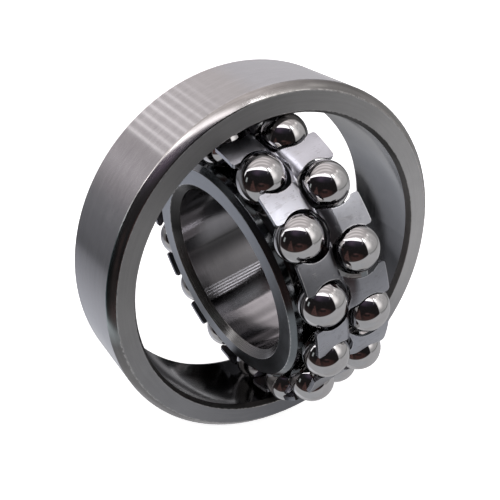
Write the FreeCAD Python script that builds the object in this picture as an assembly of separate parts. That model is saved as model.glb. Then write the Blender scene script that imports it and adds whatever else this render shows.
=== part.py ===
import FreeCAD, Part
import math
import os

# Self-aligning ball bearing: an outer ring with a spherical raceway, and inside it
# an inner ring with two grooves, a one-piece pressed steel cage and two staggered
# rows of balls. The inner set is swivelled far out of the outer ring about the
# common centre of the two rings, which is the origin.
# Millimetres. +Z is up. The outer ring stands upright with its axis along Y, and
# its front face looks along -Y.

os.makedirs("parts", exist_ok=True)

V = FreeCAD.Vector

# ---- driving dimensions -------------------------------------------------------
outer_dia = 62.0            # outside diameter of the outer ring
bore_dia = 30.0             # bore of the inner ring
width = 16.0                # width of both rings
balls_per_row = 14
ball_dia = 7.541            # 19/64 in ball
pitch_radius = 23.10        # radius of the circle through a row's ball centres
row_offset = 3.92           # distance of each row's centre plane from the middle plane
race_play = 0.020           # play between ball and raceway, per side

swivel_angle = 86.2         # degrees between the two rings' axes
swivel_lean = 11.6          # degrees that the swivel axis leans from the vertical, in the XZ plane
row_a_start = -29.17        # degrees, first ball of row A from the swivel axis
outer_corner = 1.2          # outside corner of the outer ring
outer_corner_round = 0.30   # rounding of that corner's two edges
outer_face_inner_r = 26.80  # inner edge of the outer ring's side faces
outer_rim_r = 26.30         # where the rim's chamfer meets the spherical raceway
face_edge_round = 0.12

bore_corner = 1.3           # chamfer of the bore
inner_face_r = 19.20        # outer edge of the inner ring's side faces
inner_land_r = 19.95        # shoulders and middle rib of the inner ring
inner_land_edge = 7.15      # where the shoulder's chamfer ends
inner_edge_round = 0.18
groove_ratio = 0.520        # groove radius over ball diameter

sheet = 0.70                # cage sheet thickness
web_inner_r = 20.40         # inner edge of the cage's web
web_outer_r = 23.55
web_half = 0.55             # half thickness of the web before its ball dimples
dimple_r = 4.30             # spherical ball dimple in the web
pocket_r = 4.25             # spherical edge of a ball pocket
pocket_inboard = 0.40       # how far a pocket's centre lies inboard of its ball's
cage_lag = 0.45             # degrees that the cage hangs back behind the balls, within its pockets' play
finger_end = 7.10           # how far a finger reaches from the middle plane
finger_half = 2.52          # half width of a finger at its end
finger_tip_r = 25.05        # radius of a finger's outer face at its free end
crown_r = 25.13             # highest line of the slightly crowned finger
crown_z = 5.10
crown_round = 40.0
finger_neck_r = 24.90       # where the finger's line and the valley's slope meet
bend_z = 1.15
bend_r = 2.20               # outer radius of that bend
valley_slope = 45.0         # degrees, slope of the valley between the two rows of fingers
valley_r = 0.45             # rounding of the valley's bottom
finger_corner = 0.45        # rounding of a finger's free corners

# ---- directions -----------------------------------------------------------------
lean = math.radians(swivel_lean)
swing = math.radians(swivel_angle)
swivel_dir = V(-math.sin(lean), 0, math.cos(lean))
front = V(0, -1, 0)
# the inner set's axis: the front direction turned about the swivel axis
set_axis = FreeCAD.Rotation(swivel_dir, -swivel_angle).multVec(front)
side_dir = set_axis.cross(swivel_dir)
side_dir.normalize()

# The inner set's own frame: local X is the swivel axis, local Z its own axis.
set_frame = FreeCAD.Placement(
    FreeCAD.Matrix(
        swivel_dir.x, side_dir.x, set_axis.x, 0,
        swivel_dir.y, side_dir.y, set_axis.y, 0,
        swivel_dir.z, side_dir.z, set_axis.z, 0,
        0, 0, 0, 1,
    )
)

ball_r = ball_dia / 2
pitch_deg = 360.0 / balls_per_row
centre_dist = math.hypot(pitch_radius, row_offset)
sphere_r = centre_dist + ball_r + race_play
contact = math.atan2(row_offset, pitch_radius)


# ---- profile helpers --------------------------------------------------------------
def rounded_path(points):
    """Edges of an open path of straight runs. Each point is (x, y, radius): an inner
    point's corner is rounded by its radius."""
    edges, start = [], V(points[0][0], points[0][1], 0)
    for i in range(1, len(points) - 1):
        p = V(points[i][0], points[i][1], 0)
        r = points[i][2]
        a = V(points[i - 1][0], points[i - 1][1], 0).sub(p)
        b = V(points[i + 1][0], points[i + 1][1], 0).sub(p)
        a.normalize()
        b.normalize()
        if r <= 0:
            edges.append(Part.LineSegment(start, p).toShape())
            start = p
            continue
        half = a.getAngle(b) / 2
        t = r / math.tan(half)
        p1, p2 = p.add(V(a).multiply(t)), p.add(V(b).multiply(t))
        mid = V(a).add(b)
        mid.normalize()
        centre = p.add(V(mid).multiply(r / math.sin(half)))
        top = centre.sub(V(mid).multiply(r))
        edges.append(Part.LineSegment(start, p1).toShape())
        edges.append(Part.Arc(p1, top, p2).toShape())
        start = p2
    edges.append(Part.LineSegment(start, V(points[-1][0], points[-1][1], 0)).toShape())
    return edges


def revolve(edges):
    """A ring from a closed profile: x of the profile is the radius, y is the height
    along the ring's axis, which comes out along Z."""
    wire = Part.Wire(Part.__sortEdges__(edges))
    face = Part.Face(wire)
    ring = face.revolve(V(0, 0, 0), V(0, 1, 0), 360)
    ring.rotate(V(0, 0, 0), V(1, 0, 0), 90)
    if ring.ShapeType != "Solid":
        ring = ring.Solids[0]
    if ring.Volume < 0:
        ring.reverse()
    return ring


def save(shape, name):
    solid = shape if shape.ShapeType == "Solid" else shape.Solids[0]
    assert solid.isValid(), name
    print("%-12s %9.2f mm3" % (name, solid.Volume))
    solid.exportStep("parts/%s.step" % name)


# ---- outer ring -----------------------------------------------------------------------
half_w = width / 2
rim_z = math.sqrt(sphere_r ** 2 - outer_rim_r ** 2)
out_r = outer_dia / 2
outer_points = [
    (outer_rim_r, rim_z, 0),
    (outer_face_inner_r, half_w, face_edge_round),
    (out_r - outer_corner, half_w, outer_corner_round),
    (out_r, half_w - outer_corner, outer_corner_round),
    (out_r, -half_w + outer_corner, outer_corner_round),
    (out_r - outer_corner, -half_w, outer_corner_round),
    (outer_face_inner_r, -half_w, face_edge_round),
    (outer_rim_r, -rim_z, 0),
]
outer_edges = rounded_path(outer_points)
outer_edges.append(
    Part.Arc(V(outer_rim_r, -rim_z, 0), V(sphere_r, 0, 0), V(outer_rim_r, rim_z, 0)).toShape()
)
outer_ring = revolve(outer_edges)
# its axis lies along Y
outer_ring.rotate(V(0, 0, 0), V(1, 0, 0), 90)
save(outer_ring, "outer_ring")

# ---- inner ring ---------------------------------------------------------------------------
groove_r = groove_ratio * ball_dia
groove_shift = groove_r - (ball_r + race_play)
groove_x = pitch_radius + groove_shift * math.cos(contact)
groove_z = row_offset + groove_shift * math.sin(contact)
groove_dz = math.sqrt(groove_r ** 2 - (groove_x - inner_land_r) ** 2)
groove_lo, groove_hi = groove_z - groove_dz, groove_z + groove_dz
bore_r = bore_dia / 2


def half_points(sign):
    return [
        (inner_land_r, sign * groove_hi, 0),
        (inner_land_r, sign * inner_land_edge, inner_edge_round),
        (inner_face_r, sign * half_w, inner_edge_round),
        (bore_r + bore_corner, sign * half_w, face_edge_round),
        (bore_r, sign * (half_w - bore_corner), face_edge_round),
    ]


inner_points = half_points(1) + list(reversed(half_points(-1)))
inner_edges = rounded_path(inner_points)
for sign in (1, -1):
    inner_edges.append(
        Part.Arc(
            V(inner_land_r, sign * groove_lo, 0),
            V(groove_x - groove_r, sign * groove_z, 0),
            V(inner_land_r, sign * groove_hi, 0),
        ).toShape()
    )
inner_edges.append(
    Part.LineSegment(V(inner_land_r, -groove_lo, 0), V(inner_land_r, groove_lo, 0)).toShape()
)
inner_ring = revolve(inner_edges)
inner_ring.Placement = set_frame.multiply(inner_ring.Placement)
save(inner_ring, "inner_ring")


# ---- balls ------------------------------------------------------------------------------------
def ball_centre(row, k):
    """Local centre of ball k of row A (sign +1) or B (sign -1). Row B is half a pitch on."""
    deg = row_a_start - pitch_deg * k + (0 if row > 0 else pitch_deg / 2)
    a = math.radians(deg)
    return V(pitch_radius * math.cos(a), pitch_radius * math.sin(a), row * row_offset)


for row, letter in ((1, "a"), (-1, "b")):
    for k in range(balls_per_row):
        c = set_frame.multVec(ball_centre(row, k))
        # the sphere's seam lies along the set's axis
        ball = Part.makeSphere(ball_r, V(0, 0, 0), V(0, 0, 1))
        ball.Placement = FreeCAD.Placement(c, set_frame.Rotation)
        save(ball, "ball_%s_%02d" % (letter, k + 1))

# ---- cage -----------------------------------------------------------------------------------------
# One sheet bent to a shallow valley between the rows. Its inner side is the outer side set
# in by the sheet's thickness.
valley_x = finger_neck_r - bend_z * math.tan(math.radians(valley_slope))
half_side = [
    (finger_tip_r, finger_end, 0),
    (crown_r, crown_z, crown_round),
    (finger_neck_r, bend_z, bend_r),
]
outer_side = half_side + [(valley_x, 0, valley_r)] + [(x, -z, r) for x, z, r in reversed(half_side)]


def set_in(points, depth):
    """The path moved sideways by depth towards the axis, its roundings kept parallel."""
    ways = []
    for (x0, z0, _), (x1, z1, _) in zip(points, points[1:]):
        length = math.hypot(x1 - x0, z1 - z0)
        ways.append(((x1 - x0) / length, (z1 - z0) / length))
    out = []
    for i, (x, z, r) in enumerate(points):
        w0, w1 = ways[max(i - 1, 0)], ways[min(i, len(ways) - 1)]
        # the side towards the axis of a run that goes down in z
        n0, n1 = (w0[1], -w0[0]), (w1[1], -w1[0])
        bx, bz = n0[0] + n1[0], n0[1] + n1[1]
        k = 2.0 * depth / (bx * bx + bz * bz)
        bulge = w0[0] * w1[1] - w0[1] * w1[0]
        out.append((x + bx * k, z + bz * k, (r - depth if bulge < 0 else r + depth) if r > 0 else 0))
    return out


inner_side = list(reversed(set_in(outer_side, sheet)))
tip_in = inner_side[-1]
section = rounded_path(outer_side) + rounded_path(inner_side)
section.append(Part.LineSegment(V(finger_tip_r, -finger_end, 0), V(tip_in[0], -tip_in[1], 0)).toShape())
section.append(Part.LineSegment(V(tip_in[0], tip_in[1], 0), V(finger_tip_r, finger_end, 0)).toShape())
section_face = Part.Face(Part.Wire(Part.__sortEdges__(section)))
section_face.rotate(V(0, 0, 0), V(1, 0, 0), 90)      # the section now lies in XZ

# One pitch of the band, from the middle of a row B finger over a row A finger to the
# middle of the next row B finger.
section_face.rotate(V(0, 0, 0), V(0, 0, 1), -pitch_deg / 2)
cell = section_face.revolve(V(0, 0, 0), V(0, 0, 1), pitch_deg)
if cell.ShapeType != "Solid":
    cell = cell.Solids[0]


def open_end(row, deg):
    """What is cut away outboard of a ball, between the two fingers beside it."""
    half = math.radians(pitch_deg / 2)
    # between the side planes of the two fingers, at the cage's radius
    inner_x, outer_x = 20.0, 28.0
    pts = []
    for x, side in ((inner_x, -1), (outer_x, -1), (outer_x, 1), (inner_x, 1)):
        # distance from the ball's plane to a finger's side plane, at distance x from the axis
        y = (x * math.sin(half) - finger_half) / math.cos(half)
        pts.append(V(x, side * y, 0))
    wire = Part.makePolygon(pts + [pts[0]])
    block = Part.Face(wire).extrude(V(0, 0, 6.0))
    block.translate(V(0, 0, row_offset))
    if row < 0:
        block.rotate(V(0, 0, 0), V(1, 0, 0), 180)
    block.rotate(V(0, 0, 0), V(0, 0, 1), deg)
    return block


tools = []
half_deg = pitch_deg / 2
# row A's balls lie half a pitch to each side of its finger, row B's ball is in line with it
for row, deg in ((1, -half_deg), (1, half_deg), (-1, 0.0), (-1, -pitch_deg), (-1, pitch_deg)):
    s = Part.makeSphere(pocket_r, V(0, 0, 0), V(1, 0, 0))
    a = math.radians(deg)
    s.translate(V(pitch_radius * math.cos(a), pitch_radius * math.sin(a), row * (row_offset - pocket_inboard)))
    tools.append(s)
    tools.append(open_end(row, deg))
cell = cell.cut(tools)
cell = max(cell.Solids, key=lambda k: k.Volume)


def free_corners(shape):
    """Round the free corners of the fingers: the short edges across the sheet at their ends."""
    picked = []
    for e in shape.Edges:
        if e.Length > 1.2 * sheet or e.Length < 0.8 * sheet:
            continue
        a, b = e.Vertexes[0].Point, e.Vertexes[-1].Point
        deg = abs(math.degrees(math.atan2(a.y, a.x)))
        if min(abs(a.z), abs(b.z)) > finger_end - 0.06 and abs(deg - half_deg) > 0.5:
            picked.append(e)
    return picked


corners = free_corners(cell)
if corners:
    try:
        rounded = cell.makeFillet(finger_corner, corners)
        if rounded.isValid() and rounded.Solids:
            cell = rounded.Solids[0]
    except Exception as e:
        print("free corners left sharp:", e)

web = Part.makeCylinder(web_outer_r, 2 * web_half, V(0, 0, -web_half)).cut(
    Part.makeCylinder(web_inner_r, 4 * web_half, V(0, 0, -2 * web_half))
)
dimples = []
for row in (1, -1):
    for k in range(balls_per_row):
        s = Part.makeSphere(dimple_r, V(0, 0, 0), V(0, 0, 1))
        s.translate(ball_centre(row, k))
        s.rotate(V(0, 0, 0), V(0, 0, 1), -cage_lag)
        dimples.append(s)
web = web.cut(dimples)

cells = []
for k in range(balls_per_row):
    c = cell.copy()
    c.rotate(V(0, 0, 0), V(0, 0, 1), row_a_start - pitch_deg * (k + 0.5) - cage_lag)
    cells.append(c)
band = cells[0].fuse(cells[1:])
cage = band.fuse(web).removeSplitter()
print("cage solids", len(cage.Solids), "valid", cage.isValid())
cage = cage.Solids[0]
cage.Placement = set_frame.multiply(cage.Placement)
save(cage, "cage")

print("sphere radius %.3f  rim z %.3f  groove %.3f at %.3f, %.3f" % (sphere_r, rim_z, groove_r, groove_x, groove_z))
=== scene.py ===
import math

import bpy
import numpy as np
from mathutils import Matrix, Vector

# Self-aligning ball bearing: the looks. The outer ring's axis lies along Y, the inner
# set (inner ring, cage, balls) is swivelled out of it about the common centre.
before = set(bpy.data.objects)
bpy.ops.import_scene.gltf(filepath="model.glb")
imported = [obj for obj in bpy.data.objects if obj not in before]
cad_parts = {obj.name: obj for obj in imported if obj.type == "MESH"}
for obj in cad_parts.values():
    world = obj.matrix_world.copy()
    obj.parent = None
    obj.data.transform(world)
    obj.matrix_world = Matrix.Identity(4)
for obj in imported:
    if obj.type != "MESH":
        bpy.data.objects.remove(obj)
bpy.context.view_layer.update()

# ---- directions and sizes (millimetres in the names, metres in the scene) ---------------
LEAN = math.radians(11.6)
SWING = math.radians(86.2)
SWIVEL = Vector((-math.sin(LEAN), 0.0, math.cos(LEAN)))
SET_AXIS = Vector((0.0, -1.0, 0.0))
SET_AXIS.rotate(Matrix.Rotation(-SWING, 3, SWIVEL))
SET_SIDE = SET_AXIS.cross(SWIVEL).normalized()
RING_AXIS = Vector((0.0, 1.0, 0.0))
RING_U, RING_V = Vector((1.0, 0.0, 0.0)), Vector((0.0, 0.0, 1.0))

HALF_W = 8.0
OUT_R, OUT_CORNER = 31.0, 1.2
FACE_IN_R, RIM_R, SPHERE_R = 26.8, 26.3, 27.221
BORE_R, BORE_CORNER = 15.0, 1.3
IN_FACE_R, LAND_R = 19.2, 19.95
FLOOR_Z = -0.031


# ---- a small node-graph writer --------------------------------------------------------------
class Graph:
    def __init__(self, tree):
        self.tree = tree
        tree.nodes.clear()
        self.count = 0

    def node(self, kind, **props):
        n = self.tree.nodes.new(kind)
        self.count += 1
        n.location = (220 * (self.count % 12), -260 * (self.count // 12))
        for k, v in props.items():
            setattr(n, k, v)
        return n

    def put(self, socket, value):
        if value is None:
            return
        if isinstance(value, bpy.types.NodeSocket):
            self.tree.links.new(value, socket)
        else:
            socket.default_value = value

    def math(self, op, a, b=None, c=None, clamp=False):
        n = self.node("ShaderNodeMath", operation=op, use_clamp=clamp)
        self.put(n.inputs[0], a)
        if b is not None:
            self.put(n.inputs[1], b)
        if c is not None:
            self.put(n.inputs[2], c)
        return n.outputs[0]

    def add(self, a, b):
        return self.math("ADD", a, b)

    def sub(self, a, b):
        return self.math("SUBTRACT", a, b)

    def mul(self, a, b):
        return self.math("MULTIPLY", a, b)

    def vec(self, op, a, b=None, scale=None):
        n = self.node("ShaderNodeVectorMath", operation=op)
        self.put(n.inputs[0], a)
        if b is not None:
            self.put(n.inputs[1], b)
        if scale is not None:
            self.put(n.inputs["Scale"], scale)
        return n.outputs["Value"] if op in ("DOT_PRODUCT", "LENGTH", "DISTANCE") else n.outputs["Vector"]

    def combine(self, x, y, z):
        n = self.node("ShaderNodeCombineXYZ")
        self.put(n.inputs[0], x)
        self.put(n.inputs[1], y)
        self.put(n.inputs[2], z)
        return n.outputs[0]

    def rise(self, v, lo, hi):
        """0 below lo, 1 above hi, smooth between."""
        n = self.node("ShaderNodeMapRange", interpolation_type="SMOOTHSTEP", clamp=True)
        self.put(n.inputs["Value"], v)
        self.put(n.inputs["From Min"], lo)
        self.put(n.inputs["From Max"], hi)
        return n.outputs["Result"]

    def fall(self, v, lo, hi):
        return self.sub(1.0, self.rise(v, lo, hi))

    def window(self, v, lo, hi, soft_lo, soft_hi=None):
        soft_hi = soft_lo if soft_hi is None else soft_hi
        a = self.rise(v, lo - soft_lo / 2, lo + soft_lo / 2)
        b = self.fall(v, hi - soft_hi / 2, hi + soft_hi / 2)
        return self.mul(a, b)

    def remap(self, v, a0, a1, b0, b1, clamp=True):
        n = self.node("ShaderNodeMapRange", clamp=clamp)
        self.put(n.inputs["Value"], v)
        self.put(n.inputs["From Min"], a0)
        self.put(n.inputs["From Max"], a1)
        self.put(n.inputs["To Min"], b0)
        self.put(n.inputs["To Max"], b1)
        return n.outputs["Result"]

    def mix(self, fac, a, b, blend="MIX"):
        n = self.node("ShaderNodeMix", data_type="RGBA", blend_type=blend, clamp_factor=True)
        self.put(n.inputs[0], fac)
        self.put(n.inputs[6], a)
        self.put(n.inputs[7], b)
        return n.outputs[2]

    def ramp(self, fac, stops, interp="LINEAR"):
        n = self.node("ShaderNodeValToRGB")
        n.color_ramp.interpolation = interp
        while len(n.color_ramp.elements) < len(stops):
            n.color_ramp.elements.new(0.5)
        for e, (p, c) in zip(n.color_ramp.elements, stops):
            e.position = p
            e.color = (*c, 1.0) if len(c) == 3 else c
        self.put(n.inputs[0], fac)
        return n.outputs[0]

    def noise(self, vector, scale, detail=2.0, rough=0.5, distort=0.0):
        n = self.node("ShaderNodeTexNoise")
        self.put(n.inputs["Vector"], vector)
        n.inputs["Scale"].default_value = scale
        n.inputs["Detail"].default_value = detail
        n.inputs["Roughness"].default_value = rough
        n.inputs["Distortion"].default_value = distort
        return n.outputs["Fac"]

    def voronoi(self, vector, scale, feature="F1", rand=1.0):
        n = self.node("ShaderNodeTexVoronoi", feature=feature)
        self.put(n.inputs["Vector"], vector)
        n.inputs["Scale"].default_value = scale
        n.inputs["Randomness"].default_value = rand
        return n.outputs["Distance"]


def rgb(r, g=None, b=None):
    return (r, r, r, 1.0) if g is None else (r, g, b, 1.0)


# ---- materials ---------------------------------------------------------------------------------
class Metal:
    """A metal finish laid out round a ring's axis. s runs across the lay, u and v round it."""

    def __init__(self, name, axis, u, v):
        self.mat = bpy.data.materials.new(name)
        self.mat.use_nodes = True
        g = self.g = Graph(self.mat.node_tree)
        self.axis = axis
        tc = g.node("ShaderNodeTexCoord")
        p = self.p = g.vec("SCALE", tc.outputs["Object"], scale=1000.0)
        self.z = g.vec("DOT_PRODUCT", p, tuple(axis))
        self.u = g.vec("DOT_PRODUCT", p, tuple(u))
        self.v = g.vec("DOT_PRODUCT", p, tuple(v))
        self.r = g.math("SQRT", g.add(g.mul(self.u, self.u), g.mul(self.v, self.v)))
        self.s = g.add(self.z, g.mul(self.r, 1.7))
        self.az = g.math("ABSOLUTE", self.z)

    def turn(self, skew=0.0):
        """Place round the ring, 0 to 1 from u. skew moves it by degrees a millimetre along the axis."""
        g = self.g
        t = g.mul(g.math("ARCTAN2", self.v, self.u), 1.0 / (2.0 * math.pi))
        if skew:
            t = g.add(t, g.mul(self.z, skew / 360.0))
        return g.math("MODULO", g.add(t, 1.0), 1.0)

    def around(self, stops, skew=0.0):
        """Painted light and shade round the ring: a slow change of albedo with the ring angle. Stops are (degrees,
        albedo, grey or a colour);
        they are taken as parts of the brightest one."""
        stops = [(a, v if isinstance(v, tuple) else (v, v, v)) for a, v in stops]
        top = max(max(v) for _, v in stops)
        return self.g.ramp(self.turn(skew), [(a / 360.0, tuple(k / top for k in v)) for a, v in stops]), top

    def lay(self, across, along, detail=3.0, rough=0.55):
        """Noise drawn out round the ring: fine across the lay, long along it."""
        g = self.g
        k = along / across
        return g.noise(g.combine(self.s, g.mul(self.u, k), g.mul(self.v, k)), across, detail, rough)

    def tangent(self, kind):
        """World direction that the highlight is drawn out along: across the lay."""
        g = self.g
        if kind == "axis":
            t = tuple(self.axis)
            vt = g.node("ShaderNodeVectorTransform", vector_type="VECTOR", convert_from="OBJECT", convert_to="WORLD")
            vt.inputs[0].default_value = t
            return vt.outputs[0]
        radial = g.vec("SUBTRACT", self.p, g.vec("SCALE", tuple(self.axis), scale=self.z))
        vt = g.node("ShaderNodeVectorTransform", vector_type="VECTOR", convert_from="OBJECT", convert_to="WORLD")
        g.put(vt.inputs[0], g.vec("NORMALIZE", radial))
        return vt.outputs[0]

    def finish(self, color, rough, bump=None, bump_mm=0.002, strength=1.0, aniso=0.0, tangent=None, normal=None):
        g = self.g
        b = g.node("ShaderNodeBsdfPrincipled")
        b.inputs["Metallic"].default_value = 1.0
        g.put(b.inputs["Base Color"], color)
        g.put(b.inputs["Roughness"], rough)
        b.inputs["Anisotropic"].default_value = aniso
        if tangent is not None:
            g.put(b.inputs["Tangent"], tangent)
        if bump is not None:
            n = g.node("ShaderNodeBump")
            n.inputs["Strength"].default_value = strength
            n.inputs["Distance"].default_value = bump_mm / 1000.0
            g.put(n.inputs["Height"], bump)
            if normal is not None:
                g.put(n.inputs["Normal"], normal)
            g.put(b.inputs["Normal"], n.outputs[0])
        elif normal is not None:
            g.put(b.inputs["Normal"], normal)
        out = g.node("ShaderNodeOutputMaterial")
        g.put(out.inputs["Surface"], b.outputs[0])
        self.mat["slot"] = self.mat.name
        return self.mat


def nicks(m, edge, amount, size=2.2):
    """Small irregular marks along an edge. edge is 1 on the edge and 0 away from it."""
    g = m.g
    n = g.noise(m.p, size, 4.0, 0.65)
    return g.mul(edge, g.rise(n, 0.62 - amount, 0.70 - amount))


def ground(name, axis, u, v, kind, base, rough, aniso, edges, tint=(1.0, 1.0, 1.0), speck=0.5, relief=0.0016):
    """A ground surface: fine marks round the ring, a little mottle, worn edges, and, with a list base, painted light
    and shade round the ring.
    """
    m = Metal(name, axis, u, v)
    g = m.g
    # a list base is painted light and shade round the ring
    stain_and_painted_light, base = m.around(base) if isinstance(base, list) else (None, base)
    fine = m.lay(9.0, 0.35)
    wide = m.lay(1.6, 0.10, 2.0)
    mottle = g.noise(m.p, 0.35, 3.0, 0.55)
    grain = g.noise(m.p, 5.5, 2.0, 0.6)
    t = g.add(g.mul(g.sub(fine, 0.5), 0.55), g.mul(g.sub(wide, 0.5), 0.45))
    t = g.add(t, g.mul(g.sub(mottle, 0.5), 0.5))
    t = g.add(t, g.mul(g.sub(grain, 0.5), 0.35 * speck))
    t = g.add(t, 0.5)
    lo = tuple(base * k * 0.90 for k in tint)
    hi = tuple(base * k * 1.10 for k in tint)
    color = g.ramp(t, [(0.25, lo), (0.75, hi)])
    # multiply in the painted light and shade round the ring
    if stain_and_painted_light is not None:
        color = g.mix(1.0, color, stain_and_painted_light, "MULTIPLY")
    edge = edges(m)
    worn = g.mul(edge, g.rise(g.noise(m.p, 1.3, 3.0, 0.6), 0.35, 0.65))
    color = g.mix(g.mul(worn, 0.55), color, rgb(0.78, 0.77, 0.76))
    color = g.mix(g.mul(nicks(m, edge, 0.04), 0.75), color, rgb(0.10, 0.09, 0.085))
    r = g.add(g.remap(fine, 0.3, 0.7, rough * 0.90, rough * 1.10), g.mul(g.sub(mottle, 0.5), 0.08))
    r = g.sub(r, g.mul(worn, rough * 0.25))
    height = g.add(g.mul(fine, 1.0), g.mul(grain, 0.6 * speck))
    return m.finish(color, r, height, relief, 0.55, aniso, m.tangent(kind))


def turned(name, axis, u, v, base, rough, edges, tint=(1.0, 0.95, 0.91), crown=None):
    """A turned chamfer left from before grinding: darker, warmer, with turning lines; a list base adds painted light
    and shade round the ring.
    crown is (radius, height, size, lean, swell): the chamfer's slight roundness."""
    m = Metal(name, axis, u, v)
    g = m.g
    # a list base is painted light and shade round the ring, multiplied into the colour below
    tone, base = m.around(base) if isinstance(base, list) else (None, base)
    lines = m.lay(6.0, 0.10, 2.0)
    stain_and_painted_light = g.noise(m.p, 0.22, 4.0, 0.6)
    t = g.add(g.mul(lines, 0.5), g.mul(stain_and_painted_light, 0.5))
    color = g.ramp(t, [(0.30, tuple(base * k * 0.78 for k in tint)), (0.70, tuple(base * 1.15 * (0.5 + 0.5 * k) for k in tint))])
    if tone is not None:
        color = g.mix(1.0, color, tone, "MULTIPLY")
    edge = edges(m)
    worn = g.mul(edge, g.rise(g.noise(m.p, 1.6, 3.0, 0.6), 0.38, 0.60))
    color = g.mix(g.mul(worn, 0.6), color, rgb(0.74, 0.72, 0.70))
    r = g.sub(g.remap(lines, 0.3, 0.7, rough * 0.85, rough * 1.15), g.mul(worn, rough * 0.2))
    normal = None
    if crown is not None:
        cr, ch, size, tip, swell = crown
        across = g.sub(g.sub(cr, m.r), g.sub(ch, m.az))
        across = g.math("MINIMUM", g.math("MAXIMUM", g.mul(across, 1.0 / size), -1.0), 1.0)
        amount = g.sub(math.tan(math.radians(tip)), g.mul(across, math.tan(math.radians(swell))))
        out = g.vec("NORMALIZE", g.vec("SUBTRACT", m.p, g.vec("SCALE", tuple(axis), scale=m.z)))
        end = g.vec("SCALE", tuple(axis), scale=g.math("SIGN", m.z))
        push = g.vec("SCALE", g.vec("SUBTRACT", out, end), scale=g.mul(amount, math.sqrt(0.5)))
        vt = g.node("ShaderNodeVectorTransform", vector_type="NORMAL", convert_from="OBJECT", convert_to="WORLD")
        g.put(vt.inputs[0], push)
        geo = g.node("ShaderNodeNewGeometry")
        normal = g.vec("NORMALIZE", g.vec("ADD", geo.outputs["Normal"], g.vec("SCALE", push, scale=1.0)))
    return m.finish(color, r, lines, 0.004, 0.6, 0.5, m.tangent("axis"), normal)


def polished(name, axis, u, v, base, rough, tint=(1.0, 1.0, 1.0)):
    """A lapped raceway: near mirror, with hair-fine lines round it and faint handling marks; a list base adds painted
    light and shade round the ring.
    """
    m = Metal(name, axis, u, v)
    g = m.g
    # a list base is painted light and shade round the ring, multiplied into the colour below
    tone, base = m.around(base, -1.5) if isinstance(base, list) else (None, base)
    hair = m.lay(7.0, 0.05, 2.0)
    smear = g.noise(m.p, 0.28, 4.0, 0.6, 0.6)
    color = g.ramp(smear, [(0.30, tuple(base * k * 0.95 for k in tint)), (0.70, tuple(base * k * 1.05 for k in tint))])
    if tone is not None:
        color = g.mix(1.0, color, tone, "MULTIPLY")
    r = g.add(g.remap(hair, 0.35, 0.65, rough * 0.8, rough * 1.2), g.mul(g.rise(smear, 0.5, 0.75), 0.05))
    return m.finish(color, r, hair, 0.0006, 0.4, 0.3, m.tangent("axis"))


def near(g, v, at, width):
    """1 at v == at, falling to 0 at width away."""
    return g.fall(g.math("ABSOLUTE", g.sub(v, at)), 0.0, width)


ring = (RING_AXIS, RING_U, RING_V)
inner = (SET_AXIS, SWIVEL, SET_SIDE)

M = {}
M["od"] = ground("outer_ring_ground", *ring, "axis", 0.565, 0.165, 1.0,
                 lambda m: near(m.g, m.az, HALF_W - OUT_CORNER, 0.35), (1.0, 0.985, 0.985))
# painted light and shade round each ring: albedo by ring angle, in degrees round it
FACE = [(0, 0.62), (15, 0.60), (30, 0.54), (45, 0.49), (60, 0.39), (75, 0.345), (90, 0.29), (105, 0.25), (120, 0.245), (135, 0.265),
        (150, 0.325), (165, 0.30), (180, 0.335), (225, (0.332, 0.336, 0.350)), (240, (0.298, 0.302, 0.316)),
        (255, (0.257, 0.262, 0.276)), (270, (0.213, 0.219, 0.237)), (285, (0.203, 0.209, 0.228)), (315, (0.40, 0.405, 0.43)), (345, 0.60), (360, 0.62)]
CORNER = [(0, 0.45), (40, 0.48), (50, 0.37), (60, 0.38), (70, 0.27), (80, 0.29), (90, 0.39), (100, 0.54), (110, 0.57), (120, 0.56), (130, 0.98),
          (140, 0.98), (150, (0.78, 0.84, 0.86)), (160, (0.32, 0.42, 0.46)), (166, (0.22, 0.32, 0.35)), (173, (0.25, 0.37, 0.41)),
          (181, (0.60, 0.70, 0.73)), (190, 0.24), (200, 0.33), (210, 0.31), (220, 0.26), (230, 0.22),
          (240, 0.37), (260, 0.41), (360, 0.40)]
RIM = [(0, 0.40), (30, 0.30), (55, 0.12), (75, 0.09), (90, 0.26), (120, 0.14), (180, 0.16), (195, 0.16), (215, 0.16), (240, 0.19), (270, 0.17),
       (330, 0.33), (360, 0.40)]
RACE = [(0, 0.27), (28, 0.24), (42, 0.36), (60, 0.40), (100, 0.30), (205, 0.26), (222, 0.21), (240, 0.055), (255, 0.06), (280, 0.26), (300, 0.27),
        (360, 0.27)]
IN_FACE = [(0, 0.43), (80, 0.44), (100, 0.37), (120, 0.27), (140, 0.13), (160, 0.28), (180, 0.28), (200, 0.72), (220, 0.36), (240, 0.44),
           (260, 0.40), (280, 0.38), (300, 0.45), (360, 0.43)]
BORE = [(0, 0.25), (45, 0.22), (60, 0.19), (75, 0.16), (88, 0.34), (105, 0.11), (120, 0.20), (130, 0.13), (141, 0.14), (146, 0.42), (150, 0.90), (157, 0.62), (165, 0.36), (180, 0.46),
        (200, 0.28), (360, 0.25)]
BORE_CHAMFER = [(0, 0.12), (20, 0.10), (40, 0.02), (60, 0.06), (80, 0.05), (100, 0.34), (120, 0.26), (140, 0.20), (160, 0.30), (180, 0.42),
                (200, 0.36), (220, 0.32), (240, 0.38), (300, 0.24), (360, 0.12)]

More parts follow.
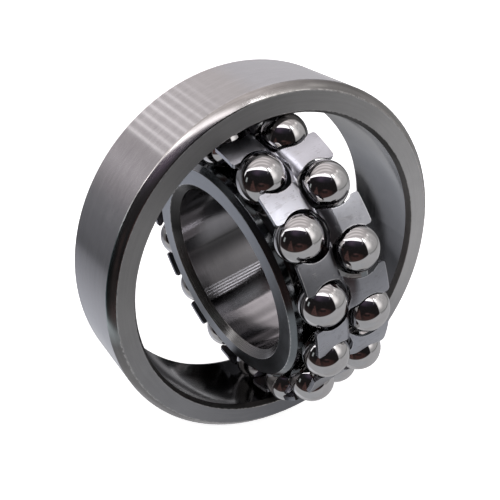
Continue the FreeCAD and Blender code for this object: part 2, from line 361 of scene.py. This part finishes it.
M["face"] = ground("outer_ring_face", *ring, "radial", FACE, 0.34, 0.35,
                   lambda m: m.g.math("MAXIMUM", near(m.g, m.r, OUT_R - OUT_CORNER, 0.30), near(m.g, m.r, FACE_IN_R, 0.16)),
                   (1.0, 0.985, 0.975), 1.0)
M["corner"] = turned("outer_ring_corner", *ring, CORNER, 0.19,
                     lambda m: near(m.g, m.r, OUT_R - OUT_CORNER, 0.22), crown=(OUT_R, HALF_W, OUT_CORNER, 4.0, 11.0))
M["rim"] = turned("outer_ring_rim", *ring, RIM, 0.36, lambda m: near(m.g, m.r, FACE_IN_R, 0.12))
M["race"] = polished("outer_raceway", *ring, RACE, 0.14)
M["in_face"] = ground("inner_ring_face", *inner, "radial", IN_FACE, 0.34, 0.35,
                      lambda m: m.g.math("MAXIMUM", near(m.g, m.r, IN_FACE_R, 0.20), near(m.g, m.r, BORE_R + BORE_CORNER, 0.16)),
                      (0.96, 1.0, 1.06), 0.8)
M["bore"] = ground("bore_ground", *inner, "axis", BORE, 0.12, 1.0,
                   lambda m: near(m.g, m.az, HALF_W - BORE_CORNER, 0.25), (1.0, 0.975, 1.015), 0.5, 0.0004)
M["bore_corner"] = turned("bore_corner", *inner, BORE_CHAMFER, 0.25, lambda m: near(m.g, m.r, BORE_R + BORE_CORNER, 0.14))
# shoulder and groove kept dark (0.26, 0.24): painted shade in the recess under the balls
M["land"] = turned("inner_ring_shoulder", *inner, 0.26, 0.20, lambda m: near(m.g, m.r, IN_FACE_R, 0.16), (0.88, 0.98, 1.04))
M["groove"] = polished("inner_groove", *inner, 0.24, 0.10)


# the cage: where its ball pockets are, and each finger's painted light and shade, an albedo ramp for each row
BALLS, PITCH_R, POCKET_Z, ROW_A_START, CAGE_LAG, POCKET_R, FINGER_END = 14, 23.10, 3.52, -29.17, 0.45, 4.25, 7.10
FINGER_PAINTED_LIGHT_A = [(0, 0.60), (100, 0.46), (205, 0.44), (215, 0.42), (228, 0.38), (240, 0.30), (253, 0.40), (266, 0.53), (279, 0.46), (286, 0.27), (292, 0.23),
             (299, 0.27), (307, 0.62), (318, 0.74), (330, 0.80), (343, 0.92), (360, 0.60)]
FINGER_PAINTED_LIGHT_B = [(0, 0.36), (8, 0.40), (100, 0.46), (227, 0.45), (253, 0.54), (266, 0.47), (279, 0.41), (292, 0.40), (305, 0.38), (317, 0.58), (330, 0.87),
             (345, 0.52), (356, 0.38), (360, 0.36)]


def pocket_gap(m):
    """Distance from the nearest ball pocket's edge, in millimetres."""
    g = m.g
    pitch = 2.0 * math.pi / BALLS
    out = None
    for row, start in ((1.0, ROW_A_START), (-1.0, ROW_A_START + 180.0 / BALLS)):
        a = g.sub(g.math("ARCTAN2", m.v, m.u), math.radians(start - CAGE_LAG) - 20.0 * math.pi - pitch / 2.0)
        a = g.sub(g.math("MODULO", a, pitch), pitch / 2.0)
        x = g.sub(g.mul(m.r, g.math("COSINE", a)), PITCH_R)
        y = g.mul(m.r, g.math("SINE", a))
        z = g.sub(m.z, row * POCKET_Z)
        d = g.sub(g.math("SQRT", g.add(g.add(g.mul(x, x), g.mul(y, y)), g.mul(z, z))), POCKET_R)
        out = d if out is None else g.math("MINIMUM", out, d)
    return out


def sheet_steel(name, level, rough, cut):
    """Pressed steel: smooth satin strip with a slow drift of tone, hair scratches and a few
    scuffs, each finger's painted light and shade, bright rubbed edges that are partly a painted highlight, and painted
    shade in the valley between the rows. The cut edge is rougher."""
    m = Metal(name, *inner)
    g = m.g
    cloud = g.noise(m.p, 0.30, 3.0, 0.5, 0.6)
    fine = g.noise(m.p, 2.4, 2.0, 0.5)
    hair = g.noise(g.combine(g.mul(m.z, 0.35), g.mul(m.u, 5.0), g.mul(m.v, 5.0)), 1.0, 2.0, 0.6)
    scuff = g.rise(g.mul(hair, g.noise(m.p, 0.7, 2.0, 0.5)), 0.335, 0.40)
    dull = g.rise(g.mul(g.noise(m.p, 0.9, 4.0, 0.7), g.add(hair, 0.4)), 0.52, 0.60)
    t = g.add(g.mul(cloud, 0.75), g.mul(fine, 0.25))
    tint = (0.91, 0.925, 1.0)
    color = g.ramp(t, [(0.30, tuple(0.88 * k for k in tint)), (0.70, tint)])
    # each finger's painted light and shade: an albedo ramp round the cage for each row
    (painted_light_a, top_a), (painted_light_b, top_b) = m.around(FINGER_PAINTED_LIGHT_A), m.around(FINGER_PAINTED_LIGHT_B)
    row = g.rise(m.z, -0.35, 0.35)
    tone = g.mix(row, g.mix(1.0, painted_light_b, rgb(top_b * level), "MULTIPLY"), g.mix(1.0, painted_light_a, rgb(top_a * level), "MULTIPLY"))
    color = g.mix(1.0, color, tone, "MULTIPLY")
    color = g.mix(g.mul(scuff, 0.22), color, rgb(0.66, 0.65, 0.65))
    color = g.mix(g.mul(dull, 0.20), color, rgb(0.13, 0.125, 0.13))
    gap = pocket_gap(m)
    # edges lightened: partly wear, partly a painted highlight along the pocket edges and finger ends
    rub_and_painted_highlight = g.math("MAXIMUM", g.fall(gap, 0.03, 0.17), g.rise(m.az, FINGER_END - 0.17, FINGER_END - 0.04))
    rub_and_painted_highlight = g.mul(rub_and_painted_highlight, g.add(0.45, g.mul(g.noise(m.p, 1.1, 2.0, 0.5), 0.9)))
    if not cut:
        color = g.mix(g.mul(rub_and_painted_highlight, 0.6), color, rgb(0.80, 0.80, 0.82))
    # painted shade: darker in the valley between the two rows of fingers
    painted_valley_shade = g.mul(g.fall(m.r, 23.2, 24.3), g.fall(m.az, 0.5, 1.2))
    color = g.mix(g.mul(painted_valley_shade, 0.35), color, rgb(0.10, 0.095, 0.10))
    r = g.add(g.remap(t, 0.3, 0.7, rough * 0.92, rough * 1.10), g.mul(g.add(scuff, dull), 0.06))
    height = g.add(g.mul(fine, 0.6), g.mul(hair, 0.25 if not cut else 1.2))
    return m.finish(color, r, height, 0.003 if not cut else 0.008, 0.30)


M["cage"] = sheet_steel("cage_sheet", 1.08, 0.29, False)
# the cut edge is painted darker (level 0.72 against 1.08): painted shade between the cage and the balls
M["cage_cut"] = sheet_steel("cage_cut_edge", 0.72, 0.24, True)


def ball_steel():
    mat = bpy.data.materials.new("ball_steel")
    mat.use_nodes = True
    g = Graph(mat.node_tree)
    tc = g.node("ShaderNodeTexCoord")
    p = g.vec("SCALE", tc.outputs["Object"], scale=1000.0)
    # the true sphere's normal, from the place in the ball's own box
    off = g.vec("SUBTRACT", tc.outputs["Generated"], (0.5, 0.5, 0.5))
    vt = g.node("ShaderNodeVectorTransform", vector_type="NORMAL", convert_from="OBJECT", convert_to="WORLD")
    g.put(vt.inputs[0], g.vec("NORMALIZE", off))
    film = g.noise(p, 0.5, 4.0, 0.6, 0.5)
    fleck = g.noise(p, 9.0, 2.0, 0.6)
    color = g.ramp(film, [(0.3, (0.60, 0.585, 0.58)), (0.7, (0.66, 0.65, 0.65))])
    r = g.add(g.remap(film, 0.35, 0.75, 0.022, 0.055), g.mul(g.rise(fleck, 0.66, 0.72), 0.06))
    b = g.node("ShaderNodeBsdfPrincipled")
    b.inputs["Metallic"].default_value = 1.0
    g.put(b.inputs["Base Color"], color)
    g.put(b.inputs["Roughness"], r)
    bump = g.node("ShaderNodeBump")
    bump.inputs["Strength"].default_value = 0.25
    bump.inputs["Distance"].default_value = 0.0000006
    g.put(bump.inputs["Height"], fleck)
    g.put(bump.inputs["Normal"], g.vec("NORMALIZE", vt.outputs[0]))
    g.put(b.inputs["Normal"], bump.outputs[0])
    out = g.node("ShaderNodeOutputMaterial")
    g.put(out.inputs["Surface"], b.outputs[0])
    return mat


M["ball"] = ball_steel()


# ---- which faces take which finish ------------------------------------------------------------
def faces_of(obj):
    me = obj.data
    n = len(me.polygons)
    c = np.zeros(n * 3, np.float64)
    d = np.zeros(n * 3, np.float64)
    me.polygons.foreach_get("center", c)
    me.polygons.foreach_get("normal", d)
    return c.reshape(-1, 3) * 1000.0, d.reshape(-1, 3)


def assign(obj, names, index):
    obj.data.materials.clear()
    for k in names:
        obj.data.materials.append(M[k])
    obj.data.polygons.foreach_set("material_index", np.asarray(index, dtype=np.int32))
    obj.data.update()


def split(c, d, axis):
    axis = np.array(axis)
    z = c @ axis
    radial = c - z[:, None] * axis
    r = np.linalg.norm(radial, axis=1)
    radial /= r[:, None]
    return z, r, (d * radial).sum(1), d @ axis


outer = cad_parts["outer_ring"]
c, d = faces_of(outer)
z, r, dr, dz = split(c, d, RING_AXIS)
idx = np.full(len(c), 2)                                     # outer corner
idx[(dr > 0.97)] = 0                                         # ground outside
idx[(np.abs(dz) > 0.97)] = 1                                 # side faces
idx[(dr < -0.1) & (r < FACE_IN_R + 0.1)] = 3                 # rim
idx[(np.abs(np.hypot(r, z) - SPHERE_R) < 0.03) & (np.abs(z) < 7.03)] = 4
assign(outer, ["od", "face", "corner", "rim", "race"], idx)

inner_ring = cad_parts["inner_ring"]
c, d = faces_of(inner_ring)
z, r, dr, dz = split(c, d, SET_AXIS)
idx = np.full(len(c), 3)                                     # shoulders and rib
idx[(r < LAND_R - 0.02) & (np.abs(z) < 7.1) & (r > BORE_R + 0.5)] = 4   # grooves
idx[(r < BORE_R + BORE_CORNER + 0.05) & (dr < -0.2)] = 2     # bore corner
idx[(dr < -0.97)] = 1                                        # bore
idx[(np.abs(dz) > 0.97)] = 0                                 # side faces
assign(inner_ring, ["in_face", "bore", "bore_corner", "land", "groove"], idx)

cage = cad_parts["cage"]
c, d = faces_of(cage)
z, r, dr, dz = split(c, d, SET_AXIS)
dt = np.sqrt(np.maximum(1.0 - dr * dr - dz * dz, 0.0))
turned_deg = np.degrees(np.arctan2(c @ np.array(SET_SIDE), c @ np.array(SWIVEL)))
gap = np.full(len(c), 99.0)
for row, start in ((1.0, ROW_A_START), (-1.0, ROW_A_START + 180.0 / BALLS)):
    a = np.radians((turned_deg - start + CAGE_LAG + 3600.0 + 180.0 / BALLS) % (360.0 / BALLS) - 180.0 / BALLS)
    dist = np.sqrt((r * np.cos(a) - PITCH_R) ** 2 + (r * np.sin(a)) ** 2 + (z - row * POCKET_Z) ** 2)
    gap = np.minimum(gap, np.abs(dist - POCKET_R))
cut = (dt > 0.35) | (gap < 0.04) | ((np.abs(dz) > 0.8) & (np.abs(z) > 6.8))
idx = np.where(cut & (r > 23.0), 1, 0)
assign(cage, ["cage", "cage_cut"], idx)

for name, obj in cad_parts.items():
    if name.startswith("ball_"):
        obj.data.materials.clear()
        obj.data.materials.append(M["ball"])

# ---- the studio ---------------------------------------------------------------------------------
# The floor runs up into a plain backdrop. It is only looked at: what the metal mirrors is
# the studio's light, in the world below.
profile = [(0.0, 0.0), (0.25, 0.0), (0.9, 0.0)]
for k in range(1, 13):
    a = math.radians(90 * k / 12)
    profile.append((0.9 + 0.7 * math.sin(a), 0.7 - 0.7 * math.cos(a)))
profile += [(1.6, 1.1)]
for k in range(1, 13):
    a = math.radians(90 * k / 12)
    profile.append((1.6 * math.cos(a), 1.1 + 1.0 * math.sin(a)))
seg = 96
verts, faces = [(0.0, 0.0, FLOOR_Z)], []
rings_n = len(profile) - 2
for pr, pz in profile[1:-1]:
    for k in range(seg):
        a = 2 * math.pi * k / seg
        verts.append((pr * math.cos(a), pr * math.sin(a), FLOOR_Z + pz))
verts.append((0.0, 0.0, FLOOR_Z + profile[-1][1]))
for k in range(seg):
    faces.append((0, 1 + k, 1 + (k + 1) % seg))
for i in range(rings_n - 1):
    for k in range(seg):
        a, b = 1 + i * seg + k, 1 + i * seg + (k + 1) % seg
        faces.append((a, a + seg, b + seg, b))
last = 1 + (rings_n - 1) * seg
for k in range(seg):
    faces.append((last + k, len(verts) - 1, last + (k + 1) % seg))
me = bpy.data.meshes.new("studio_sweep")
me.from_pydata(verts, [], faces)
me.polygons.foreach_set("use_smooth", [True] * len(me.polygons))
me.update()
sweep = bpy.data.objects.new("studio_sweep", me)
bpy.context.scene.collection.objects.link(sweep)
mat = bpy.data.materials.new("studio_paper")
mat.use_nodes = True
g = Graph(mat.node_tree)
tc = g.node("ShaderNodeTexCoord")
tone = g.noise(tc.outputs["Object"], 6.0, 3.0, 0.5)
b = g.node("ShaderNodeBsdfPrincipled")
g.put(b.inputs["Base Color"], g.ramp(tone, [(0.3, (0.86, 0.86, 0.86)), (0.7, (0.885, 0.885, 0.885))]))
b.inputs["Roughness"].default_value = 0.9
b.inputs["Specular IOR Level"].default_value = 0.1
b.inputs["Emission Color"].default_value = (1.0, 1.0, 1.0, 1.0)
b.inputs["Emission Strength"].default_value = 0.85
out = g.node("ShaderNodeOutputMaterial")
g.put(out.inputs["Surface"], b.outputs[0])
me.materials.append(mat)
sweep.visible_glossy = False
sweep.visible_diffuse = False
sweep.visible_shadow = False
sweep.visible_transmission = False

# ---- the light ---------------------------------------------------------------------------------------
# One procedural studio: a soft ceiling, a bright soft panel above the front, a pale wall on
# the right, a dim room behind the camera, a slatted lamp low behind the ring, a pale table.
world = bpy.data.worlds.new("studio_light")
bpy.context.scene.world = world
world.use_nodes = True
g = Graph(world.node_tree)
tc = g.node("ShaderNodeTexCoord")
direction = g.vec("NORMALIZE", tc.outputs["Generated"])
sx = g.node("ShaderNodeSeparateXYZ")
g.put(sx.inputs[0], direction)
dx, dy, dz_ = sx.outputs
DEG = 180.0 / math.pi
el = g.mul(g.math("ARCSINE", dz_), DEG)
az = g.mul(g.math("ARCTAN2", dx, dy), DEG)                    # 0 towards +Y, + towards +X
fz = g.mul(g.math("ARCTAN2", g.mul(dx, -1.0), g.mul(dy, -1.0)), DEG)   # 0 towards -Y, + towards -X


def ramp_on(value, lo, hi, stops):
    """A colour ramp over value from lo to hi. Stops are (value, grey or colour)."""
    t = g.remap(value, lo, hi, 0.0, 1.0)
    out = []
    for at, col in stops:
        col = (col, col, col) if isinstance(col, float) else col
        out.append(((at - lo) / (hi - lo), col))
    return g.ramp(t, out)


# right and general surroundings, by elevation
side = ramp_on(el, -90, 90, [(-90, (0.42, 0.42, 0.43)), (-60, (0.46, 0.46, 0.47)), (-12, (0.50, 0.50, 0.515)), (-7, (0.47, 0.47, 0.475)),
                             (-4.6, (0.22, 0.22, 0.22)), (-2.5, (0.42, 0.42, 0.42)), (12, (0.52, 0.51, 0.515)), (30, (0.64, 0.63, 0.635)),
                             (46, (0.72, 0.70, 0.70)), (60, (0.80, 0.765, 0.765)), (90, (0.84, 0.79, 0.79))])
col = side
# a row of small dark marks along the foot of the right wall
marks = g.math("ADD", g.mul(g.math("COSINE", g.mul(az, 2 * math.pi / 5.5)), 0.5), 0.5)
marks = g.mul(marks, g.mul(g.window(az, 98, 146, 6), g.window(g.add(el, g.mul(g.sub(az, 120.0), 0.12)), -8.5, -3.5, 2.5)))
col = g.mix(g.mul(marks, 0.75), col, rgb(0.12))
# something dark at its far end
far = g.mul(g.window(az, 58, 82, 12), g.window(el, -12, 46, 12))
col = g.mix(g.mul(far, 0.6), col, rgb(0.20))
# soft clouds on the right wall
cloud = g.noise(g.combine(g.mul(az, 0.035), g.mul(el, 0.05), 0.0), 1.0, 3.0, 0.6, 0.5)
cloud = g.mul(g.mul(g.rise(cloud, 0.40, 0.64), g.window(az, 78, 160, 12)), g.window(el, 6, 52, 16, 10))
col = g.mix(g.mul(cloud, 0.6), col, rgb(0.40, 0.395, 0.40))
# warm hot area of the right wall
hot = g.mul(g.window(az, 134, 156, 26, 8), g.window(el, 14, 50, 20, 12))
col = g.mix(g.mul(hot, 0.9), col, rgb(1.42, 1.39, 1.38))
# creases of light high on the right, with a dim fold above them
fold = g.mul(g.window(az, 84, 150, 16), g.window(g.add(el, g.mul(g.sub(az, 115.0), -0.10)), 52, 56, 4))
col = g.mix(g.mul(fold, 0.45), col, rgb(0.40, 0.39, 0.39))
for a0, a1, e0, e1, amount in ((93, 105, 41, 49, 0.8), (112, 117, 44, 50, 0.4), (122, 136, 48, 58, 0.8), (141, 149, 46, 60, 0.7)):
    spot = g.mul(g.window(az, a0, a1, 7), g.window(el, e0, e1, 6))
    col = g.mix(g.mul(spot, amount), col, rgb(1.75, 1.70, 1.68))

# behind the ring, by the ring angle at which the outside mirrors it
VX, VZ = -0.403, 0.291
CAMERA_AT = Vector((-61.66, -99.35, 60.10))


def seen_at(deg):
    """World angle that the outside mirrors at a ring angle, for this camera."""
    t = math.radians(deg)
    n = Vector((math.cos(t), 0.0, math.sin(t)))
    v = (CAMERA_AT - n * 31.0).normalized()
    r = 2.0 * n.dot(v) * n - v
    return math.degrees(math.atan2(r.z + VZ, r.x + VX)) % 360.0


ra = g.mul(g.math("ARCTAN2", g.add(dz_, VZ), g.add(dx, VX)), DEG)
ra = g.math("MODULO", g.add(ra, 360.0), 360.0)
OUTSIDE = [(70, 0.60), (75, 0.66), (80, 0.66), (90, 0.69), (97, 0.70), (103, 0.70), (112, 0.74), (124, 0.80), (129.5, 0.68), (132, 0.52),
           (135, 0.52), (139, 0.585), (141.5, 0.52), (145, 0.39), (150, 0.245), (155, 0.20), (160, 0.18), (165.4, 0.125),
           (166.0, 0.10), (166.7, 0.24), (170, 0.33), (175, 0.43), (180, 0.50), (185, 0.56), (190, 0.60), (195, 0.75), (200, 0.61), (204, 0.50)]
TINTS = [(70, (1.0, 0.98, 1.03)), (97, (1.0, 0.975, 1.03)), (103, (1.02, 0.955, 0.965)), (130, (1.0, 0.935, 0.975)), (145, (1.0, 0.94, 1.0)),
         (152, (0.99, 0.985, 1.08)), (165, (0.97, 0.985, 1.09)), (190, (0.96, 0.985, 1.08)), (204, (1.0, 1.0, 1.03))]


def tinted(deg, value):
    return tuple(value * float(np.interp(deg, [t for t, _ in TINTS], [c[k] for _, c in TINTS])) for k in range(3))


back = ramp_on(ra, 20, 250, [(seen_at(t), tinted(t, v)) for t, v in OUTSIDE])
BAR0, BAR9 = seen_at(105.5), seen_at(130.3)
step = (BAR9 - BAR0) / 9
bars = g.math("POWER", g.add(g.mul(g.math("COSINE", g.mul(g.sub(ra, BAR0), 2 * math.pi / step)), 0.5), 0.5), 5.0)
bars = g.mul(bars, g.window(ra, BAR0 - 0.55 * step, BAR9 + 0.5 * step, 0.8))
bars = g.mul(bars, g.add(0.05, g.mul(0.95, g.rise(ra, seen_at(106), seen_at(122)))))
back = g.mix(g.mul(bars, 0.75), back, rgb(1.9, 1.84, 1.88))
mask_back = g.mul(g.window(az, -46, 58, 22, 24), g.fall(el, 42, 58))
col = g.mix(mask_back, col, back)

# low behind on the right: dark, with one faint line of light
dusk = g.mul(g.window(az, 22, 60, 8, 9), g.window(el, -46, -7, 8, 7))
col = g.mix(dusk, col, rgb(0.085, 0.083, 0.088))
line = g.mul(g.window(g.sub(el, g.add(g.mul(g.sub(az, 44.0), 0.67), -3.0)), -0.9, 0.9, 1.4), g.window(az, 36, 52, 5))
col = g.mix(g.mul(line, 0.8), col, rgb(1.6, 1.6, 1.65))

# left: dim
left = g.mul(g.window(az, -86, -44, 10, 16), g.window(el, -24, 46, 10, 14))
col = g.mix(left, col, rgb(0.15, 0.145, 0.15))

# the dim room behind the camera, with an arched top and a bowed table edge
u = g.mul(g.sub(fz, 40.0), 1.0 / 60.0)
u2 = g.mul(u, u)
top = g.sub(62.0, g.add(g.mul(u2, 11.0), g.mul(g.mul(u2, u2), 5.0)))
w = g.mul(g.sub(fz, 60.0), 1.0 / 78.0)
foot = g.add(g.mul(g.mul(w, w), 25.0), -38.0)
over = g.sub(el, top)
room_v = g.mul(g.rise(g.sub(el, foot), -2.5, 2.5), g.fall(over, -1.6, 1.6))
lean = g.sub(fz, g.mul(el, 0.10))
room = g.mul(g.window(lean, -25, 118, 4, 10), room_v)
room_col = ramp_on(el, -45, 60, [(-45, (0.060, 0.048, 0.046)), (-25, (0.030, 0.022, 0.021)), (-5, (0.013, 0.011, 0.011)), (30, (0.014, 0.013, 0.014)),
                                 (44, (0.028, 0.025, 0.034)), (54, (0.058, 0.050, 0.070)), (62, (0.095, 0.082, 0.110))])
murk = g.noise(g.combine(g.mul(fz, 0.09), g.mul(el, 0.12), 0.0), 1.0, 4.0, 0.65)
room_col = g.mix(g.mul(g.rise(murk, 0.50, 0.72), 0.5), room_col, rgb(0.034, 0.033, 0.034))
mauve = g.mul(g.window(fz, 44, 78, 34), g.window(el, 38, 60, 16))
room_col = g.mix(g.mul(mauve, 0.45), room_col, rgb(0.115, 0.080, 0.125))
# two soft brown shapes low in the room
cone = g.mul(g.fall(g.sub(g.math("ABSOLUTE", g.sub(fz, 68.0)), g.mul(g.sub(10.0, el), 0.30)), -1.0, 5.0), g.window(el, -32, 12, 8, 6))
broken = g.add(0.45, g.mul(g.rise(murk, 0.40, 0.62), 0.55))
room_col = g.mix(g.mul(g.mul(cone, broken), 0.85), room_col, rgb(0.112, 0.060, 0.055))


def blob(f0, e0, fr, er, soft):
    a = g.mul(g.sub(fz, f0), 1.0 / fr)
    b = g.mul(g.sub(el, e0), 1.0 / er)
    return g.fall(g.math("SQRT", g.add(g.mul(a, a), g.mul(b, b))), 1.0 - soft, 1.0 + soft)


wide = g.mul(blob(23, -17, 27, 19, 0.35), g.sub(1.0, g.mul(blob(32, -7, 14, 5.5, 0.45), 0.9)))
room_col = g.mix(g.mul(g.mul(wide, broken), 0.85), room_col, rgb(0.070, 0.034, 0.031))
room_col = g.mix(g.mul(blob(31, 2, 9, 3.5, 0.6), 0.6), room_col, rgb(0.11, 0.062, 0.060))
col = g.mix(room, col, room_col)
# the bright panel above the front
# above it the ceiling in soft arcs
away = g.add(g.mul(dx, 0.48339), g.mul(dy, 0.87541))
aside = g.sub(g.mul(dx, 0.87541), g.mul(dy, 0.48339))
roll = g.mul(g.math("ARCTAN2", dz_, g.mul(away, -1.0)), DEG)          # 0 in front, 90 overhead, 180 behind
arcs = g.add(g.mul(g.math("COSINE", g.mul(g.sub(g.add(roll, g.mul(g.mul(aside, aside), 14.0)), 93.0), 2 * math.pi / 17.0)), 0.5), 0.5)
arcs = g.mul(g.math("POWER", arcs, 1.5), g.mul(g.window(roll, 84, 136, 6), g.window(aside, -0.62, 0.40, 0.3)))
gloom = g.mul(g.window(roll, 78, 140, 10, 16), g.window(aside, -0.75, 0.62, 0.3))
col = g.mix(g.mul(gloom, 0.8), col, rgb(0.54, 0.505, 0.51))
col = g.mix(g.mul(arcs, 0.6), col, rgb(1.25, 1.18, 1.18))
panel = g.mul(g.window(fz, -11, 122, 10, 8), g.mul(g.rise(over, -1.6, 1.6), g.fall(over, 8, 19)))
rays = g.noise(g.combine(g.mul(fz, 0.16), g.mul(el, 0.02), 0.0), 1.0, 3.0, 0.6)
panel = g.mul(panel, g.sub(1.0, g.mul(g.rise(rays, 0.46, 0.66), g.mul(g.rise(over, 3.0, 10.0), 0.6))))
col = g.mix(panel, col, rgb(2.4, 2.33, 2.42))
# a dim ridge beside it
ridge = g.mul(g.window(g.add(az, g.mul(g.sub(el, 55.0), 1.1)), 155, 164, 5), g.window(el, 42, 66, 8))
col = g.mix(g.mul(ridge, 0.55), col, rgb(0.30, 0.29, 0.30))
# a small slatted lamp on the right, seen in the bore
slats = g.math("POWER", g.add(g.mul(g.math("COSINE", g.mul(g.sub(el, 53.0), 2 * math.pi / 3.6)), 0.5), 0.5), 5.0)
slats = g.mul(slats, g.mul(g.window(az, 147.5, 156, 3), g.window(el, 45.5, 60.5, 3)))
col = g.mix(slats, col, rgb(14.0, 14.0, 14.6))
# small openings on the left
w1 = g.mul(g.window(az, -84, -77, 4), g.window(el, -2, 14, 5))
col = g.mix(g.mul(w1, 0.9), col, rgb(0.46, 0.50, 0.50))
w2 = g.mul(g.window(az, -64, -58, 4), g.window(el, 9, 26, 6))
col = g.mix(g.mul(w2, 0.8), col, rgb(2.0, 2.0, 2.05))
w3 = g.mul(g.window(az, -52, -46, 4), g.window(el, 4, 13, 5))
col = g.mix(g.mul(w3, 0.8), col, rgb(0.33, 0.36, 0.36))
# the table in front is in half shade
shade = g.mul(g.window(fz, -30, 118, 30, 24), g.fall(el, -46, -40))
col = g.mix(shade, col, rgb(0.455, 0.465, 0.485))

bg = g.node("ShaderNodeBackground")
g.put(bg.inputs["Color"], col)
bg.inputs["Strength"].default_value = 1.0
out = g.node("ShaderNodeOutputWorld")
g.put(out.inputs["Surface"], bg.outputs[0])
world.cycles.sampling_method = "MANUAL"
world.cycles.sample_map_resolution = 1024

scene = bpy.context.scene
scene.view_settings.view_transform = "Standard"
scene.view_settings.look = "None"
scene.view_settings.exposure = 0.0
scene.view_settings.gamma = 1.0
scene.cycles.max_bounces = 12
scene.cycles.glossy_bounces = 8
scene.cycles.sample_clamp_indirect = 6.0

# ---- the camera -------------------------------------------------------------------------------------------
cam_data = bpy.data.cameras.new("camera")
cam = bpy.data.objects.new("camera", cam_data)
scene.collection.objects.link(cam)
right = Vector((0.87541, -0.48339, 0.0))
forward = Vector((0.39846, 0.72160, -0.56614))
right.normalize()
forward.normalize()
up = right.cross(forward)
cam.matrix_world = Matrix((
    (right.x, up.x, -forward.x, -0.06166),
    (right.y, up.y, -forward.y, -0.09935),
    (right.z, up.z, -forward.z, 0.06010),
    (0.0, 0.0, 0.0, 1.0),
))
cam_data.sensor_fit = "AUTO"
cam_data.sensor_width = 36.0
cam_data.lens = 53.94
cam_data.shift_x = 0.05
cam_data.shift_y = 0.20
cam_data.clip_start = 0.005
cam_data.clip_end = 10.0
scene.camera = cam
